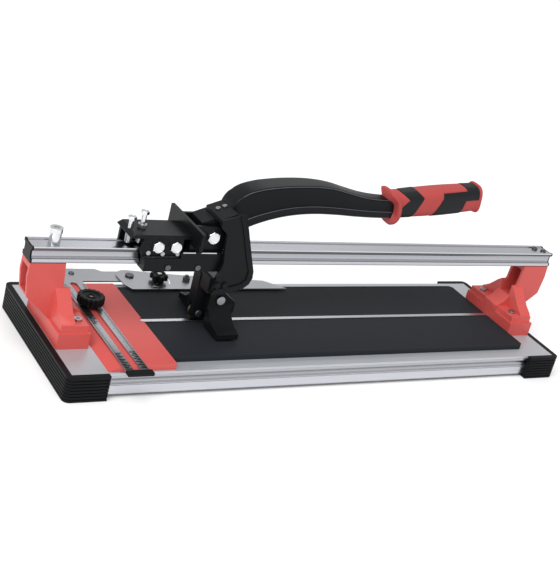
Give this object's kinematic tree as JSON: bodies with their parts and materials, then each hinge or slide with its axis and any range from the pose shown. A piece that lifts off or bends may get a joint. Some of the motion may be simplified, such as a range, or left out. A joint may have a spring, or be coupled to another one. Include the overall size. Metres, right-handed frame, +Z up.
{
  "type": "manual tile cutter",
  "caption": "Bench tile cutter: ribbed black end caps, aluminium rail on two red supports, rolling carriage with scoring lever, breaking foot and a swivelling side stop.",
  "frame": {"origin": "centre of the base in plan, on the bench surface", "axes": "+X along the rail towards the grip's side, +Y from front to back, +Z up"},
  "size_m": [0.749, 0.257, 0.2315],
  "materials": {
    "cap_rubber": "ribbed matt",
    "aluminium": "satin extruded",
    "deck_sheet": "brushed anodised",
    "pad_rubber": "finely ribbed matt",
    "red_casting": "satin enamel",
    "red_plastic": "satin",
    "zinc_steel": "zinc plated",
    "dark_steel": "dark oxide",
    "chrome": "bright",
    "black_metal": "satin black enamel",
    "black_plastic": "moulded matt",
    "grip_red": "soft matt",
    "grip_black": "soft textured",
    "carbide": "coated"
  },
  "bodies": {
    "base": {"deck_plate": "deck_sheet", "front_profile": "aluminium", "rear_profile": "aluminium", "end_cap_left": "cap_rubber", "end_cap_right": "cap_rubber", "front_pad": "pad_rubber", "rear_pad": "pad_rubber", "breaking_strip": "aluminium", "support_left": "red_casting", "support_right": "red_casting", "support_screws": "zinc_steel", "rail": "aluminium", "rail_plugs": "black_plastic", "rail_stop_bolt": "chrome", "rail_screws": "dark_steel", "guide_plate": "red_plastic", "guide_screws": "dark_steel", "clamp_stud": "zinc_steel"},
    "carriage": {"carriage_body": "black_metal", "carriage_front_plate": "black_metal", "plate_screws": "zinc_steel", "guide_block_front": "black_metal", "guide_block_rear": "black_metal", "block_screws": "dark_steel", "adjusting_bolts": "chrome", "adjusting_bushes": "zinc_steel", "bearing_bolts": "chrome", "bearing_nuts": "zinc_steel", "roller_pins": "zinc_steel", "pivot_bolt": "chrome", "pivot_nut": "zinc_steel", "pivot_washers": "zinc_steel"},
    "lever": {"lever_root": "black_metal", "lever_arm": "black_metal", "grip_sleeve": "grip_red", "grip_inserts": "grip_black", "breaker_bracket": "black_metal", "bracket_screws": "zinc_steel", "wheel_holder": "black_metal", "wheel_axle": "zinc_steel", "breaker_pin": "zinc_steel"},
    "wheel": {"scoring_wheel": "carbide"},
    "breaker": {"breaker_yoke": "black_metal", "breaker_shoes": "black_plastic"},
    "top_roller_left": {"top_roller_left": "chrome"},
    "top_roller_right": {"top_roller_right": "chrome"},
    "side_roller_front_left": {"side_roller_front_left": "chrome"},
    "side_roller_front_right": {"side_roller_front_right": "chrome"},
    "side_roller_rear_left": {"side_roller_rear_left": "chrome"},
    "side_roller_rear_right": {"side_roller_rear_right": "chrome"},
    "side_stop": {"stop_ruler": "zinc_steel", "stop_bar": "zinc_steel", "ruler_tip": "black_plastic", "bar_rivets": "dark_steel", "fence_pivot": "dark_steel", "fence_stud": "zinc_steel"},
    "clamp_knob": {"clamp_knob": "black_plastic"},
    "fence": {"swivel_fence": "zinc_steel", "fence_screw": "dark_steel"},
    "fence_knob": {"fence_knob": "black_plastic"}
  },
  "joints": [
    {"name": "carriage_slide", "type": "slide", "parent": "base", "child": "carriage", "axis": [1, 0, 0], "range_m": [-0.065, 0.38]},
    {"name": "lever_pivot", "type": "hinge", "parent": "carriage", "child": "lever", "pos_m": [-0.166, 0, 0.157], "axis": [0, 1, 0], "range_deg": [-20, 0]},
    {"name": "wheel_spin", "type": "hinge", "parent": "lever", "child": "wheel", "pos_m": [-0.152, 0, 0.05], "axis": [0, 1, 0], "continuous": true},
    {"name": "breaker_tilt", "type": "hinge", "parent": "lever", "child": "breaker", "pos_m": [-0.134, 0, 0.074], "axis": [0, 1, 0], "range_deg": [-4, 4]},
    {"name": "top_roller_left_spin", "type": "hinge", "parent": "carriage", "child": "top_roller_left", "pos_m": [-0.232, 0, 0.1438], "axis": [0, 1, 0], "continuous": true},
    {"name": "top_roller_right_spin", "type": "hinge", "parent": "carriage", "child": "top_roller_right", "pos_m": [-0.21, 0, 0.1438], "axis": [0, 1, 0], "continuous": true},
    {"name": "side_roller_front_left_spin", "type": "hinge", "parent": "carriage", "child": "side_roller_front_left", "pos_m": [-0.234, -0.0156, 0.1276], "axis": [0, 0, 1], "continuous": true},
    {"name": "side_roller_front_right_spin", "type": "hinge", "parent": "carriage", "child": "side_roller_front_right", "pos_m": [-0.158, -0.0156, 0.1276], "axis": [0, 0, 1], "continuous": true},
    {"name": "side_roller_rear_left_spin", "type": "hinge", "parent": "carriage", "child": "side_roller_rear_left", "pos_m": [-0.234, 0.0156, 0.1276], "axis": [0, 0, 1], "continuous": true},
    {"name": "side_roller_rear_right_spin", "type": "hinge", "parent": "carriage", "child": "side_roller_rear_right", "pos_m": [-0.158, 0.0156, 0.1276], "axis": [0, 0, 1], "continuous": true},
    {"name": "stop_slide", "type": "slide", "parent": "base", "child": "side_stop", "axis": [0, 1, 0], "range_m": [-0.004, 0.13]},
    {"name": "clamp_knob_turn", "type": "hinge", "parent": "base", "child": "clamp_knob", "pos_m": [-0.273, 0.0333, 0.045], "axis": [0, 0, 1], "continuous": true},
    {"name": "fence_swivel", "type": "hinge", "parent": "side_stop", "child": "fence", "pos_m": [-0.1916, 0.1077, 0.0394], "axis": [0, 0, 1], "range_deg": [0, 30]},
    {"name": "fence_knob_turn", "type": "hinge", "parent": "side_stop", "child": "fence_knob", "pos_m": [-0.15822, 0.09421, 0.045], "axis": [0, 0, 1], "continuous": true}
  ],
  "couplings": [
    {"joint": "top_roller_left_spin", "follows": "carriage_slide", "rad_per_m": 125},
    {"joint": "top_roller_right_spin", "follows": "carriage_slide", "rad_per_m": 125},
    {"joint": "side_roller_front_left_spin", "follows": "carriage_slide", "rad_per_m": 166.67},
    {"joint": "side_roller_front_right_spin", "follows": "carriage_slide", "rad_per_m": 166.67},
    {"joint": "side_roller_rear_left_spin", "follows": "carriage_slide", "rad_per_m": -166.67},
    {"joint": "side_roller_rear_right_spin", "follows": "carriage_slide", "rad_per_m": -166.67}
  ]
}
